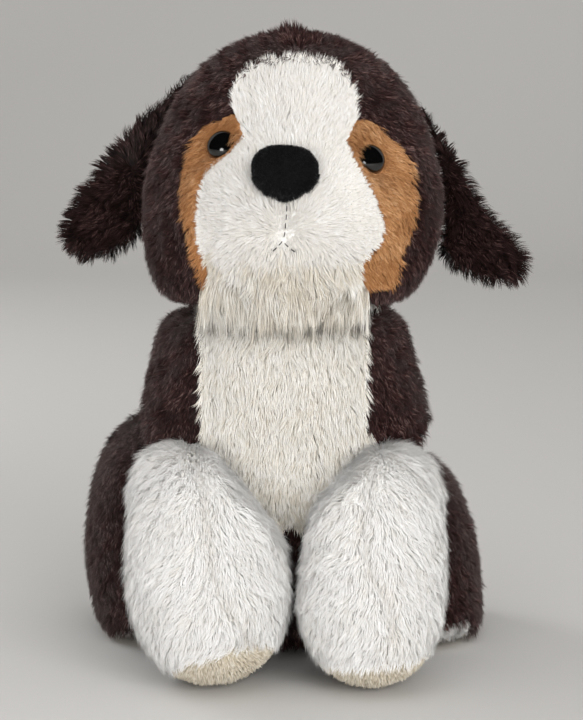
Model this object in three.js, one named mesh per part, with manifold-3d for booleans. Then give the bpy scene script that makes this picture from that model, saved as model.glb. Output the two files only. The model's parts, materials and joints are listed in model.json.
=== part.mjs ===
// A sitting plush puppy, built as it is sewn: plush panels round fibre filling, plastic eyes with
// their washers, a padded nose, and a pellet bag in the seat. Millimetres, +Z up. The dog faces -Y
// and its own left is +X. The origin is on the flat base that it sits on, in its middle plane.

import * as THREE from "three";
import { mergeVertices } from "three/addons/utils/BufferGeometryUtils.js";
import Module from "manifold-3d";

const wasm = await Module();
wasm.setup();

// ---- driving dimensions ---------------------------------------------------------------------

const GAP = 0.3; // between pieces that touch
const PLUSH = 6; // long-pile fabric, backing and pile together
const PILE = 5; // the pile's share of it
const SOLE = 3; // short-pile sole and base fabric
const BLEND = 14; // how softly the lobes of a stuffed shape run together

// Each lobe is an ellipsoid: its centre and its half axes.
const lobe = (x, y, z, rx, ry, rz) => ({ at: [x, y, z], half: [rx, ry, rz] });

const HEAD_AT = [4, -8, 233];
const HEAD_PITCH = 20; // muzzle up
const HEAD_YAW = 4; // muzzle to the dog's right
const HEAD_ROLL = 3; // crown to the dog's left
const HEAD_LOBES = [
  lobe(-1, 7, 20, 58, 58, 49), // cranium
  lobe(0, 0, -16, 71, 56, 70), // cheeks
  lobe(-29, -2, -46, 34, 44, 28), // right jowl, which hangs lower
  lobe(0, -32, -27, 45, 44, 44), // muzzle
];
const FACE_LEAN = 12; // the face's seams are laid out on a plane leaning this far back

const NECK_AT = [2, 5, 168];
const NECK_RADIUS = 36;
const HEAD_UNDERSIDE = 174; // height of the head's flat underside
const SHOULDER_TOP = 172.8; // tip of the cone that the torso is cut to around the neck
const SHOULDER_SLOPE = 0.15; // how fast the cone falls away, which lets the head nod

const TORSO_CENTRE = [0, 20, 85];
const TORSO_LOBES = [
  lobe(-2, 6, 142, 63, 50, 60), // shoulders
  lobe(-1, 12, 95, 74, 56, 74), // chest
  lobe(0, 28, 52, 74, 68, 64), // seat
];
const PELLET_BAG = lobe(0, 28, 15, 24, 28, 20);
const CHEST_HALF_WIDTH = 40; // of the white front panel
const RECESS_HALF_WIDTH = 57.5; // the torso's flats where the thighs lie

const SHOULDER_HEIGHT = 89; // of the foreleg's hinge
const SHOULDER_Y = -42;
const FORELEG_LIFT = [0, 15, 30];
const LEG_MIDDLE = 3.2; // the forelegs meet at this X
const HIP_AT = [66, 42, 46];
const HIP_REACH = 71; // the thigh stays this close to its hinge

// The two sides are sewn and stuffed by hand, and differ a little. Across is measured outwards.
const SIDES = [
  {
    name: "left",
    sign: 1,
    shoulder: { across: 52, radius: 22 },
    shin: lobe(41, -66, 68, 32, 32, 42),
    paw: lobe(38.5, -71, 37, 34.5, 38, 38.5),
    slant: { at: [23, 0, 97.5], angle: 46 },
    legSeam: [36, 40],
    sole: { height: 17, pitch: 1, roll: 5 },
    thigh: lobe(64, 42, 8, 33, 56, 84),
    hindPaw: lobe(70, 12, 11, 20, 26, 12),
    eye: [36.3, 5],
    cheekWidth: 0.97,
  },
  {
    name: "right",
    sign: -1,
    shoulder: { across: 53, radius: 23 },
    shin: lobe(38.5, -65, 66, 36, 32, 42),
    paw: lobe(35.5, -63, 38, 38, 45, 39.5),
    slant: { at: [25, 0, 100], angle: 41 },
    legSeam: [43, 25],
    sole: { height: 10, pitch: 17, roll: 14 },
    thigh: lobe(66, 42, 44, 34, 56, 70),
    hindPaw: lobe(64, 14, 11, 18, 22, 12),
    eye: [31, 7.3],
    cheekWidth: 0.9,
  },
];

const EYE_RADIUS = 7.2;
const NOSE_WIDTH = 29.5;
const NOSE_HEIGHT = 24;
const NOSE_DEPTH = 9;
const NOSE_AT = -6.5; // up from the head's centre

const EAR_THICKNESS = 9.5;
const TAIL_AT = [0, 103, 34];
const TAIL_RADIUS = 13;

const COLOUR = {
  brown: 0x3e2a2a,
  darkBrown: 0x2c1e1e,
  tan: 0xbe8755,
  white: 0xebebe6,
  cream: 0xe2dccf,
  beige: 0xd2c4a8,
  black: 0x141416,
  filling: 0xf4f4f0,
  thread: 0x3a3636,
  washer: 0xd8d8d2,
  linen: 0xcfc3ad,
};

// ---- solids ---------------------------------------------------------------------------------

const FAR = 300; // further than the dog reaches
const SHORTEST_EDGE = 0.04;
const radians = THREE.MathUtils.degToRad;
const vector = (xyz) => new THREE.Vector3(...xyz);

// A closed three.js geometry as a manifold solid, moved by a matrix if one is given.
function solid(geometry, matrix) {
  let bare = geometry.clone();
  bare.deleteAttribute("normal");
  bare.deleteAttribute("uv");
  if (matrix) bare.applyMatrix4(matrix);
  bare = mergeVertices(bare, 1e-4);
  const vertProperties = new Float32Array(bare.attributes.position.array);
  const triVerts = new Uint32Array(bare.index.array);
  return new wasm.Manifold(new wasm.Mesh({ numProp: 3, vertProperties, triVerts }));
}

function geometryOf(manifold) {
  const { vertProperties, triVerts } = manifold.getMesh();
  const geometry = new THREE.BufferGeometry();
  geometry.setAttribute("position", new THREE.BufferAttribute(vertProperties, 3));
  geometry.setIndex(new THREE.BufferAttribute(triVerts, 1));
  geometry.computeVertexNormals();
  return geometry;
}

// The geometry without the tiny edges that cuts leave: their two ends become one vertex.
function withoutTinyEdges(geometry) {
  const bare = geometry.clone();
  bare.deleteAttribute("normal");
  const merged = mergeVertices(bare, SHORTEST_EDGE);
  const corners = merged.index.array;
  const kept = [];
  for (let i = 0; i < corners.length; i += 3) {
    const [a, b, c] = corners.slice(i, i + 3);
    if (a !== b && b !== c && c !== a) kept.push(a, b, c);
  }
  merged.setIndex(kept);
  merged.computeVertexNormals();
  return merged;
}

const moved = (manifold, matrix) => solid(geometryOf(manifold), matrix);

// How far a point is outside an ellipsoid, roughly, and exactly nothing on its surface.
function outsideLobe(point, { at, half }, inset) {
  let scaled = 0;
  let slope = 0;
  for (let i = 0; i < 3; i++) {
    const radius = half[i] - inset;
    const offset = (point.getComponent(i) - at[i]) / radius;
    scaled += offset * offset;
    slope += (offset / radius) ** 2;
  }
  const reach = Math.sqrt(scaled);
  return (reach * (reach - 1)) / Math.sqrt(slope);
}

// The lobes run together over a fillet of width BLEND.
function outsideLobes(point, lobes, inset) {
  return lobes
    .map((each) => outsideLobe(point, each, inset))
    .reduce((a, b) => {
      const overlap = Math.max(BLEND - Math.abs(a - b), 0);
      return Math.min(a, b) - (overlap * overlap) / (4 * BLEND);
    });
}

// Where a ray from the centre leaves the stuffed shape.
function surfacePoint(centre, direction, lobes, inset) {
  let near = 0;
  let far = 200;
  const point = new THREE.Vector3();
  for (let i = 0; i < 24; i++) {
    const middle = (near + far) / 2;
    point.copy(centre).addScaledVector(direction, middle);
    if (outsideLobes(point, lobes, inset) < 0) near = middle;
    else far = middle;
  }
  return point;
}

// A stuffed shape: a ball whose every point is pushed out to the blended lobes.
function stuffed(lobes, centreXYZ, inset = 0, detail = 3) {
  const centre = vector(centreXYZ);
  const ball = new THREE.IcosahedronGeometry(1, detail);
  const position = ball.attributes.position;
  const direction = new THREE.Vector3();
  for (let i = 0; i < position.count; i++) {
    direction.fromBufferAttribute(position, i).normalize();
    const point = surfacePoint(centre, direction, lobes, inset);
    position.setXYZ(i, point.x, point.y, point.z);
  }
  return solid(ball);
}

function ballAt(xyz, radius, matrix) {
  const ball = new THREE.IcosahedronGeometry(radius, 3).translate(...xyz);
  return solid(ball, matrix);
}

function block(low, high, matrix) {
  const size = high.map((value, i) => value - low[i]);
  const box = new THREE.BoxGeometry(...size);
  box.translate(...low.map((value, i) => value + size[i] / 2));
  return solid(box, matrix);
}

const above = (height, matrix) => block([-FAR, -FAR, height], [FAR, FAR, FAR], matrix);
const below = (height, matrix) => block([-FAR, -FAR, -FAR], [FAR, FAR, height], matrix);

// Everything further out than a distance from the middle plane, on one side of the dog.
const outwardOf = (sign, across) =>
  sign > 0
    ? block([across, -FAR, -FAR], [FAR, FAR, FAR])
    : block([-FAR, -FAR, -FAR], [-across, FAR, FAR]);
const inwardOf = (sign, across) =>
  sign > 0
    ? block([-FAR, -FAR, -FAR], [across, FAR, FAR])
    : block([-across, -FAR, -FAR], [FAR, FAR, FAR]);

// Everything on the side of a plane that its normal points to.
function beyondPlane(point, normal) {
  const turn = new THREE.Quaternion();
  turn.setFromUnitVectors(new THREE.Vector3(0, 0, 1), normal);
  return above(0, new THREE.Matrix4().compose(point, turn, vector([1, 1, 1])));
}

// The largest body of a cut piece, without the slivers that cuts along a curved seam leave.
function withoutSlivers(manifold) {
  const bodies = manifold.decompose();
  return bodies.reduce((a, b) => (b.volume() > a.volume() ? b : a));
}

// A smooth closed outline through points in the XZ plane, grown outwards, as a THREE.Shape.
function outline(points, grow = 0, steps = 24) {
  const curve = new THREE.CatmullRomCurve3(
    points.map(([x, z]) => new THREE.Vector3(x, z, 0)),
    true,
    "centripetal",
  );
  const middle = curve.getSpacedPoints(steps).slice(0, -1);
  const turning = THREE.ShapeUtils.area(middle) > 0 ? 1 : -1;
  const grown = middle.map((point, i) => {
    const before = middle[(i + middle.length - 1) % middle.length];
    const after = middle[(i + 1) % middle.length];
    const along = after.clone().sub(before).normalize().multiplyScalar(turning * grow);
    return new THREE.Vector2(point.x + along.y, point.y - along.x);
  });
  return new THREE.Shape(grown);
}

// An outline drawn on the XZ plane, extruded from Y = low to Y = high.
function prism(shape, low, high, matrix) {
  const slab = new THREE.ExtrudeGeometry(shape, { depth: high - low, bevelEnabled: false });
  slab.rotateX(Math.PI / 2).translate(0, high, 0);
  return solid(slab, matrix);
}

// Half an outline given from top to bottom at the right, with its mirror image.
function symmetric(half) {
  const left = half.filter(([x]) => x > 0).map(([x, z]) => [-x, z]);
  return [...half, ...left.reverse()];
}

function lathe(profile, segments = 14) {
  const points = profile.map(([r, z]) => new THREE.Vector2(r, z));
  return new THREE.LatheGeometry(points, segments).rotateX(Math.PI / 2);
}

const outwards = ({ at: [x, y, z], half }, sign) => lobe(sign * x, y, z, ...half);

function addPiece(group, name, manifold, colour, roughness = 0.95) {
  const look = new THREE.MeshStandardMaterial({ color: colour, roughness, metalness: 0 });
  const mesh = new THREE.Mesh(withoutTinyEdges(geometryOf(withoutSlivers(manifold))), look);
  mesh.name = name;
  group.add(mesh);
}

const dog = new THREE.Group();
const headGroup = new THREE.Group();
const headTurns = [-HEAD_PITCH, HEAD_ROLL, -HEAD_YAW].map(radians);
headGroup.position.set(...HEAD_AT);
headGroup.rotation.set(...headTurns, "ZYX");
dog.add(headGroup);
dog.updateMatrixWorld(true);
const intoHead = headGroup.matrixWorld.clone().invert();

// Room for the neck's ball. The filling comes a little nearer to the ball than the panels do.
const neckSocket = (clear, inset, matrix) =>
  ballAt(NECK_AT, NECK_RADIUS + clear - 0.05 * inset, matrix);

// ---- head, made in its own frame ------------------------------------------------------------

const HEAD_CENTRE = [0, -8, -4];

// The stuffed head, cut flat underneath and hollowed for the neck.
function headShape(inset) {
  return stuffed(HEAD_LOBES, HEAD_CENTRE, inset, 5)
    .subtract(below(HEAD_UNDERSIDE + inset, intoHead))
    .subtract(neckSocket(2.5, inset, intoHead));
}

const BLAZE = symmetric([
  [0, 54.5],
  [13, 51.5],
  [24, 43],
  [27, 31],
  [26, 20],
  [31, 7],
  [38, -6],
  [43, -24],
  [42, -44],
  [39, -62],
  [38, -95],
]);
const CHEEK = [
  [23, 17],
  [31, 24],
  [42, 23],
  [51, 15],
  [57, 1],
  [59, -14],
  [57, -32],
  [52, -47],
  [45, -54],
  [33, -50],
  [22, -10],
];
const CHIN_LINE = -49; // below this the white is the chin panel

const faceLean = new THREE.Matrix4().makeRotationX(radians(FACE_LEAN));
const facePrism = (points, grow) => prism(outline(points, grow), -FAR, -6, faceLean);

// A place on the head's surface straight in front of (x, z), and the way out from it.
function onFace(x, z, inset) {
  const sight = vector([0, -1, 0]).applyMatrix4(faceLean);
  const point = surfacePoint(vector([x, 0, z]), sight, HEAD_LOBES, inset);
  const rise = [0, 1, 2].map((i) => {
    const [ahead, behind] = [0.5, -0.5].map((step) => {
      const near = point.clone().setComponent(i, point.getComponent(i) + step);
      return outsideLobes(near, HEAD_LOBES, 0);
    });
    return ahead - behind;
  });
  return { point, outward: vector(rise).normalize() };
}

// The matrix that stands a piece made along +Z on a place of the face.
function standOn({ point, outward }) {
  const turn = new THREE.Quaternion();
  turn.setFromUnitVectors(new THREE.Vector3(0, 0, 1), outward);
  return new THREE.Matrix4().compose(point, turn, vector([1, 1, 1]));
}

const BACKING = PLUSH - PILE;
const SHANK_RADIUS = 2;
const SHANK_LENGTH = 12;

// A safety eye: a dome with a flat back and a shank through the fabric.
const eyeGeometry = lathe([
  [0, -SHANK_LENGTH],
  [SHANK_RADIUS, -SHANK_LENGTH + 1],
  [SHANK_RADIUS, 0],
  [EYE_RADIUS, 0],
  [EYE_RADIUS, 1.6],
  [EYE_RADIUS * 0.86, 4.2],
  [EYE_RADIUS * 0.5, 6.2],
  [0, 7],
]);

// The washer that clips on the shank behind the fabric.
const WASHER_FRONT = -BACKING - 2 * GAP;
const washerGeometry = lathe([
  [SHANK_RADIUS + GAP, WASHER_FRONT],
  [SHANK_RADIUS + GAP, WASHER_FRONT - 2.4],
  [3.4, WASHER_FRONT - 2.4],
  [6.5, WASHER_FRONT - 1.2],
  [6.5, WASHER_FRONT],
  [SHANK_RADIUS + GAP, WASHER_FRONT],
]);

// The holes that the eye and its washer need in the fabric and in the filling.
function eyeHoles(place) {
  const matrix = standOn(place);
  const drilled = (radius, low, high) =>
    solid(lathe([[0, low], [radius, low], [radius, high], [0, high]]), matrix);
  const shank = drilled(SHANK_RADIUS + GAP, -SHANK_LENGTH - 2, 1);
  const washerRoom = (high) => drilled(7.4, WASHER_FRONT - 3.4, high);
  return {
    panel: drilled(EYE_RADIUS + GAP, -GAP, 20).add(shank).add(washerRoom(WASHER_FRONT + GAP)),
    filling: washerRoom(0).add(shank),
  };
}

// The nose is a rounded triangle, point down.
const NOSE_OUTLINE = symmetric([
  [0, NOSE_HEIGHT * 0.5],
  [NOSE_WIDTH * 0.3, NOSE_HEIGHT * 0.45],
  [NOSE_WIDTH * 0.49, NOSE_HEIGHT * 0.2],
  [NOSE_WIDTH * 0.47, -NOSE_HEIGHT * 0.08],
  [NOSE_WIDTH * 0.3, -NOSE_HEIGHT * 0.34],
  [0, -NOSE_HEIGHT * 0.5],
]);

function nosePad(shrink, floor) {
  const bevel = 3;
  const pad = new THREE.ExtrudeGeometry(outline(NOSE_OUTLINE, -bevel - shrink, 20), {
    depth: NOSE_DEPTH - bevel - shrink - floor,
    bevelThickness: bevel,
    bevelSize: bevel,
    bevelSegments: 2,
  });
  pad.translate(0, 0, floor);
  return solid(pad).subtract(below(floor));
}

// A stitch of the mouth: a thin rod through places just under the pile's surface.
function stitch(places, radius) {
  const points = places.map(([x, z]) => onFace(x, z, 1.4).point);
  const section = new THREE.Shape().absarc(0, 0, radius, 0, 2 * Math.PI);
  const rod = new THREE.ExtrudeGeometry(section, {
    steps: 3,
    curveSegments: 2,
    bevelEnabled: false,
    extrudePath: new THREE.CatmullRomCurve3(points),
  });
  return solid(rod);
}

const MOUTH = [1, -36]; // where the line under the nose ends in the lips
const STITCHES = [
  [[2.5, -20], [2, -28], [MOUTH[0], MOUTH[1] - 1]],
  [MOUTH, [-2.5, -39.5], [-6.5, -42.5]],
  [MOUTH, [4, -39], [6.5, -41.5]],
];
const mouthThread = (radius) =>
  STITCHES.map((places) => stitch(places, radius)).reduce((a, b) => a.add(b));

function buildHead() {
  const skin = headShape(0).subtract(headShape(PLUSH));
  const noseMatrix = standOn(onFace(0, NOSE_AT, PILE));
  const noseHole = moved(nosePad(-GAP, -GAP), noseMatrix);
  const threadRadius = 0.7;
  const eyes = SIDES.map(({ sign, eye }) => onFace(sign * eye[0], eye[1], PILE));
  const holes = eyes.map(eyeHoles);

  const filling = holes.reduce(
    (rest, hole) => rest.subtract(hole.filling),
    headShape(PLUSH + GAP).subtract(noseHole),
  );
  addPiece(headGroup, "head_filling", filling, COLOUR.filling);

  const white = skin.intersect(facePrism(BLAZE, -GAP / 2));
  const muzzle = holes.reduce(
    (rest, hole) => rest.subtract(hole.panel),
    white
      .intersect(above(CHIN_LINE, faceLean))
      .subtract(noseHole)
      .subtract(mouthThread(threadRadius + GAP)),
  );
  const chin = white.intersect(below(CHIN_LINE - GAP, faceLean));
  addPiece(headGroup, "muzzle_panel", muzzle, COLOUR.white);
  addPiece(headGroup, "chin_panel", chin, COLOUR.cream);

  SIDES.forEach(({ name, sign, cheekWidth }, i) => {
    const cheekPoints = CHEEK.map(([x, z]) => [sign * x * cheekWidth, z]);
    const cheek = skin
      .intersect(facePrism(cheekPoints, -GAP / 2))
      .subtract(facePrism(BLAZE, GAP / 2))
      .subtract(holes[i].panel);
    addPiece(headGroup, name + "_cheek_patch", cheek, COLOUR.tan);

    const brown = skin
      .intersect(outwardOf(sign, GAP / 2))
      .subtract(facePrism(BLAZE, GAP / 2))
      .subtract(facePrism(cheekPoints, GAP / 2))
      .subtract(holes[i].panel);
    addPiece(headGroup, name + "_head_panel", brown, COLOUR.brown);

    const matrix = standOn(eyes[i]);
    addPiece(headGroup, name + "_eye", solid(eyeGeometry, matrix), COLOUR.black, 0.08);
    const washer = solid(washerGeometry, matrix);
    addPiece(headGroup, name + "_eye_washer", washer, COLOUR.washer, 0.5);
  });

  const velvet = 1.2;
  const cover = moved(nosePad(0, 0).subtract(nosePad(velvet, -2)), noseMatrix);
  const thread = mouthThread(threadRadius).subtract(noseHole);
  addPiece(headGroup, "nose_cover", cover, COLOUR.black, 0.8);
  addPiece(headGroup, "nose_filling", moved(nosePad(velvet + GAP, 0), noseMatrix), COLOUR.filling);
  addPiece(headGroup, "mouth_thread", thread, COLOUR.thread, 0.7);
}

// ---- ears -----------------------------------------------------------------------------------

// The ears from the front, in the head's frame, with x outwards. The left one hangs lower.
const EAR_OUTLINES = {
  left: [
    [50, 43],
    [59, 40],
    [68, 29],
    [79, 14],
    [88, -1],
    [101, -15],
    [112, -24],
    [114, -32],
    [109, -42],
    [95, -44],
    [85, -41],
    [75, -37],
    [68, -28],
    [61, 0],
    [54, 22],
  ],
  right: [
    [50, 54],
    [57, 51],
    [63, 44],
    [75, 32],
    [88, 17],
    [96, 5],
    [104, -7],
    [110, -19],
    [113, -30],
    [111, -38],
    [104, -43],
    [94, -44],
    [83, -40],
    [76, -34],
    [69, -26],
    [61, 0],
    [54, 26],
  ],
};
const EAR_ROOT = 60; // outwards of this the ears turn back
const EAR_Y = 16; // the side seam that the ears are sewn into
const EAR_HINGE = [[70, -22], [52, 50]]; // a straight line along the root
const EAR_SWING = [-25, 0, 30];

// The head, a little larger, turned as the ear sees it when it swings by an angle.
function headSeenFromEar(sign, degrees) {
  const [bottom, top] = EAR_HINGE.map(([x, z]) => vector([sign * x, EAR_Y, z]));
  const axis = top.sub(bottom).normalize();
  const swing = new THREE.Matrix4().makeRotationAxis(axis, radians(-sign * degrees));
  const away = new THREE.Matrix4().makeTranslation(-bottom.x, -bottom.y, -bottom.z);
  const back = new THREE.Matrix4().makeTranslation(bottom.x, bottom.y, bottom.z);
  return moved(stuffed(HEAD_LOBES, HEAD_CENTRE, -2.2), back.multiply(swing).multiply(away));
}

function buildEar({ name, sign }) {
  const half = EAR_THICKNESS / 2;
  const bevel = 1.6;
  const points = EAR_OUTLINES[name].map(([x, z]) => [sign * x, z]);
  const keepOff = EAR_SWING.map((degrees) => headSeenFromEar(sign, degrees)).reduce((a, b) =>
    a.add(b),
  );
  const faces = [
    ["front", -half, -GAP / 2],
    ["back", GAP / 2, half],
  ];
  for (const [face, low, high] of faces) {
    const slab = new THREE.ExtrudeGeometry(outline(points, -bevel, 24), {
      depth: high - low - 2 * bevel,
      bevelThickness: bevel,
      bevelSize: bevel,
      bevelSegments: 1,
    });
    slab.rotateX(Math.PI / 2).translate(0, EAR_Y + high - bevel, 0);
    const position = slab.attributes.position;
    for (let i = 0; i < position.count; i++) {
      const reach = Math.max(Math.abs(position.getX(i)) - EAR_ROOT, 0);
      position.setY(i, position.getY(i) + 0.004 * reach * reach); // the tip turns back
    }
    const panel = solid(slab).subtract(keepOff);
    addPiece(headGroup, name + "_ear_" + face + "_panel", panel, COLOUR.darkBrown);
  }
}

// ---- neck and torso -------------------------------------------------------------------------

function buildNeck() {
  addPiece(dog, "neck_filling", ballAt(NECK_AT, NECK_RADIUS), COLOUR.filling);
}

// Everything above the cone that falls away from the neck.
function aboveShoulders(inset) {
  const top = SHOULDER_TOP - inset;
  const reach = 110;
  const edge = top - SHOULDER_SLOPE * reach;
  const profile = [[0, top], [reach, edge], [reach, FAR], [0, FAR]];
  return solid(lathe(profile, 16).translate(NECK_AT[0], NECK_AT[1], 0));
}

// The torso, cut flat below, sloped beside the neck, and clear of the limbs.
function torsoShape(inset, floorInset) {
  const clear = 1.5;
  const body = stuffed(TORSO_LOBES, TORSO_CENTRE, inset, 4)
    .subtract(below(floorInset))
    .subtract(aboveShoulders(inset))
    .subtract(neckSocket(clear, inset))
    .subtract(ballAt(TAIL_AT, TAIL_RADIUS + clear));
  return SIDES.reduce((rest, side) => {
    const radius = HIP_REACH + clear + inset;
    const recess = new THREE.CylinderGeometry(radius, radius, FAR, 20).rotateZ(Math.PI / 2);
    const middle = RECESS_HALF_WIDTH - inset + FAR / 2;
    recess.translate(side.sign * middle, HIP_AT[1], HIP_AT[2]);
    return rest.subtract(solid(recess)).subtract(liftedForeleg(side, -clear - inset));
  }, body);
}

function buildTorso() {
  const skin = torsoShape(0, 0).subtract(torsoShape(PLUSH, SOLE));
  const bagFloor = SOLE + 2 * GAP;
  const pelletBag = (inset) => stuffed([PELLET_BAG], PELLET_BAG.at, inset, 2);
  addPiece(dog, "pellet_bag", pelletBag(0).subtract(below(bagFloor)), COLOUR.linen);
  const filling = torsoShape(PLUSH + GAP, SOLE + GAP).subtract(pelletBag(-GAP));
  addPiece(dog, "torso_filling", filling, COLOUR.filling);

  const base = skin.intersect(below(SOLE - GAP));
  addPiece(dog, "base_panel", base, COLOUR.brown);
  const chestBack = SHOULDER_Y + 30; // the chest panel's seams run down in front of this
  const chestCut = (grow) => {
    const half = CHEST_HALF_WIDTH + grow;
    return block([-half, -FAR, SOLE], [half, chestBack + grow, FAR]);
  };
  addPiece(dog, "chest_panel", skin.intersect(chestCut(-GAP / 2)), COLOUR.cream);
  for (const { name, sign } of SIDES) {
    const panel = skin
      .intersect(outwardOf(sign, GAP / 2))
      .intersect(above(SOLE))
      .subtract(chestCut(GAP / 2));
    addPiece(dog, name + "_side_panel", panel, COLOUR.brown);
  }
}

// ---- forelegs -------------------------------------------------------------------------------

function foreleg({ sign, shoulder, shin, paw, slant }, inset) {
  const { across, radius } = shoulder;
  const top = lobe(across, SHOULDER_Y, SHOULDER_HEIGHT, radius, radius, radius);
  const lobes = [top, shin, paw].map((each) => outwards(each, sign));
  const [x, y, z] = shin.at;
  const up = radians(slant.angle);
  const normal = vector([-sign * Math.cos(up), 0, Math.sin(up)]);
  const flat = outwardPoint(slant.at, sign).addScaledVector(normal, -inset);
  return stuffed(lobes, [sign * x, y, z - 10], inset).subtract(beyondPlane(flat, normal));
}

// The room that the foreleg needs as it lifts.
function liftedForeleg(side, inset) {
  const leg = foreleg(side, inset);
  return FORELEG_LIFT.map((degrees) => {
    const back = new THREE.Matrix4().makeTranslation(0, SHOULDER_Y, SHOULDER_HEIGHT);
    const away = back.clone().invert();
    const lift = new THREE.Matrix4().makeRotationX(radians(-degrees));
    return moved(leg, back.multiply(lift).multiply(away));
  }).reduce((a, b) => a.add(b));
}

// The plane of the seam round the sole, a little higher at the toes and on one side.
function soleSeam({ sign, paw, sole }, inset) {
  const turns = new THREE.Euler(radians(-sole.pitch), radians(-sole.roll), 0, "XYZ");
  const normal = new THREE.Vector3(0, 0, -1).applyEuler(turns);
  const point = outwardPoint(paw.at, sign).setZ(sole.height);
  return beyondPlane(point.addScaledVector(normal, inset), normal);
}

const outwardPoint = ([x, y, z], sign) => new THREE.Vector3(sign * x, y, z);

function forelegShape(side, inset, floorInset) {
  const gap = 0.8 + inset;
  const middle = -side.sign * LEG_MIDDLE;
  return foreleg(side, inset)
    .subtract(below(floorInset))
    .subtract(inwardOf(side.sign, gap - middle));
}

function buildForeleg(side) {
  const { name, sign, paw, legSeam } = side;
  const thickness = (inset) => forelegShape(side, inset, inset);
  const skin = thickness(0).subtract(thickness(PLUSH));
  const upper = skin.subtract(soleSeam(side, 0));
  const solePanel = skin.intersect(soleSeam(side, GAP)).subtract(thickness(SOLE));
  const [high, low] = legSeam;
  const slope = new THREE.Vector3(SHOULDER_HEIGHT - paw.at[2], 0, low - high);
  const out = slope.normalize().multiply(vector([sign, 1, 1])); // across the shin
  const middle = outwardPoint(paw.at, sign).setX(sign * low);
  const seam = (way) => beyondPlane(middle.clone().addScaledVector(way, GAP / 2), way);
  const inner = seam(out.clone().negate());
  addPiece(dog, name + "_foreleg_outer_panel", upper.intersect(seam(out)), COLOUR.white);
  addPiece(dog, name + "_foreleg_inner_panel", upper.intersect(inner), COLOUR.white);
  addPiece(dog, name + "_foreleg_sole", solePanel, COLOUR.beige);
  const soft = thickness(PLUSH + GAP).add(thickness(SOLE + GAP).intersect(soleSeam(side, 2)));
  addPiece(dog, name + "_foreleg_filling", soft, COLOUR.filling);
}

// ---- hind legs ------------------------------------------------------------------------------

function hindLegShape(side, inset, floorInset) {
  const { sign, thigh, hindPaw } = side;
  const lobes = [thigh, hindPaw].map((each) => outwards(each, sign));
  return stuffed(lobes, [sign * 70, 30, 30], inset)
    .subtract(below(floorInset))
    .subtract(inwardOf(sign, RECESS_HALF_WIDTH + 1.5 + inset))
    .subtract(foreleg(side, -1.5 - inset));
}

function buildHindLeg(side) {
  const { name, sign, hindPaw } = side;
  const skin = hindLegShape(side, 0, 0).subtract(hindLegShape(side, PLUSH, SOLE));
  const upper = skin.intersect(above(SOLE));
  const pawSeam = hindPaw.at[1] - 8; // the white paw is in front of this
  const pawTop = 2 * hindPaw.half[2] + 2;
  const front = (grow) => block([-FAR, -FAR, -1], [FAR, pawSeam + grow, pawTop + grow]);
  const thigh = upper.subtract(front(GAP / 2));
  const split = HIP_AT[0] + 12; // the seam over the thigh
  const outer = thigh.intersect(outwardOf(sign, split + GAP / 2));
  const inner = thigh.intersect(inwardOf(sign, split - GAP / 2));
  addPiece(dog, name + "_thigh_outer_panel", outer, COLOUR.brown);
  addPiece(dog, name + "_thigh_inner_panel", inner, COLOUR.brown);
  addPiece(dog, name + "_hind_paw_panel", upper.intersect(front(-GAP / 2)), COLOUR.white);
  addPiece(dog, name + "_hind_sole", skin.intersect(below(SOLE - GAP)), COLOUR.beige);
  const filling = hindLegShape(side, PLUSH + GAP, SOLE + GAP);
  addPiece(dog, name + "_hind_leg_filling", filling, COLOUR.filling);
}

// ---- tail -----------------------------------------------------------------------------------

function tailShape(inset) {
  const [x, y, z] = TAIL_AT;
  const r = TAIL_RADIUS;
  const lobes = [
    lobe(x, y, z, r, r, r),
    lobe(x, y + 12, z + 11, 12.5, 13, 16),
    lobe(x, y + 17, z + 30, 10.5, 10.5, 20),
  ];
  return stuffed(lobes, [x, y + 10, z + 12], inset, 2);
}

function buildTail() {
  const thin = PLUSH - 1; // shorter pile than on the body
  const skin = tailShape(0).subtract(tailShape(thin));
  for (const { name, sign } of SIDES) {
    const half = skin.intersect(outwardOf(sign, GAP / 2));
    addPiece(dog, name + "_tail_panel", half, COLOUR.brown);
  }
  addPiece(dog, "tail_filling", tailShape(thin + GAP), COLOUR.filling);
}

buildHead();
SIDES.forEach(buildEar);
buildNeck();
buildTorso();
SIDES.forEach(buildForeleg);
SIDES.forEach(buildHindLeg);
buildTail();

export default dog;
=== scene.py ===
"""The looks of a sitting plush puppy: stuffed cloth under combed pile, glossy eyes, a velvet nose."""

import json
import math

import bpy
import numpy as np
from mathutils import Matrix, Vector
from mathutils.bvhtree import BVHTree
from mathutils.kdtree import KDTree


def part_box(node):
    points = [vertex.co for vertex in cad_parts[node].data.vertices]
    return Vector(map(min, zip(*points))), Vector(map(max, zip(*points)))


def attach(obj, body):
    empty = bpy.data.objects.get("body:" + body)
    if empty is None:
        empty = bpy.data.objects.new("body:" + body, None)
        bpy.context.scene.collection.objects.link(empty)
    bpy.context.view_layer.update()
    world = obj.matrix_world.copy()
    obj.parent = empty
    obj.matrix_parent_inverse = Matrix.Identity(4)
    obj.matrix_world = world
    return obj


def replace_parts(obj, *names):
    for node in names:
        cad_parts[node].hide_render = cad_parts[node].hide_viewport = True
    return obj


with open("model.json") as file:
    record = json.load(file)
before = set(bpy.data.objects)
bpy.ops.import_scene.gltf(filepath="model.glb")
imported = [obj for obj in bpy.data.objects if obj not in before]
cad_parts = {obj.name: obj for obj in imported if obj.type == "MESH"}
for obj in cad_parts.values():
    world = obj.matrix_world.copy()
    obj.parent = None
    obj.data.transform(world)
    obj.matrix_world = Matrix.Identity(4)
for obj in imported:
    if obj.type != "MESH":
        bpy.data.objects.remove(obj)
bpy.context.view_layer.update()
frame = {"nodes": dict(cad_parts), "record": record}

NODES = frame["nodes"]
BODIES = frame["record"]["behaviour"]["bodies"]
MM = 0.001  # all arrays are in millimetres, all meshes in metres
SCENE = bpy.context.scene

# ---- camera, light and floor ----

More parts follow.
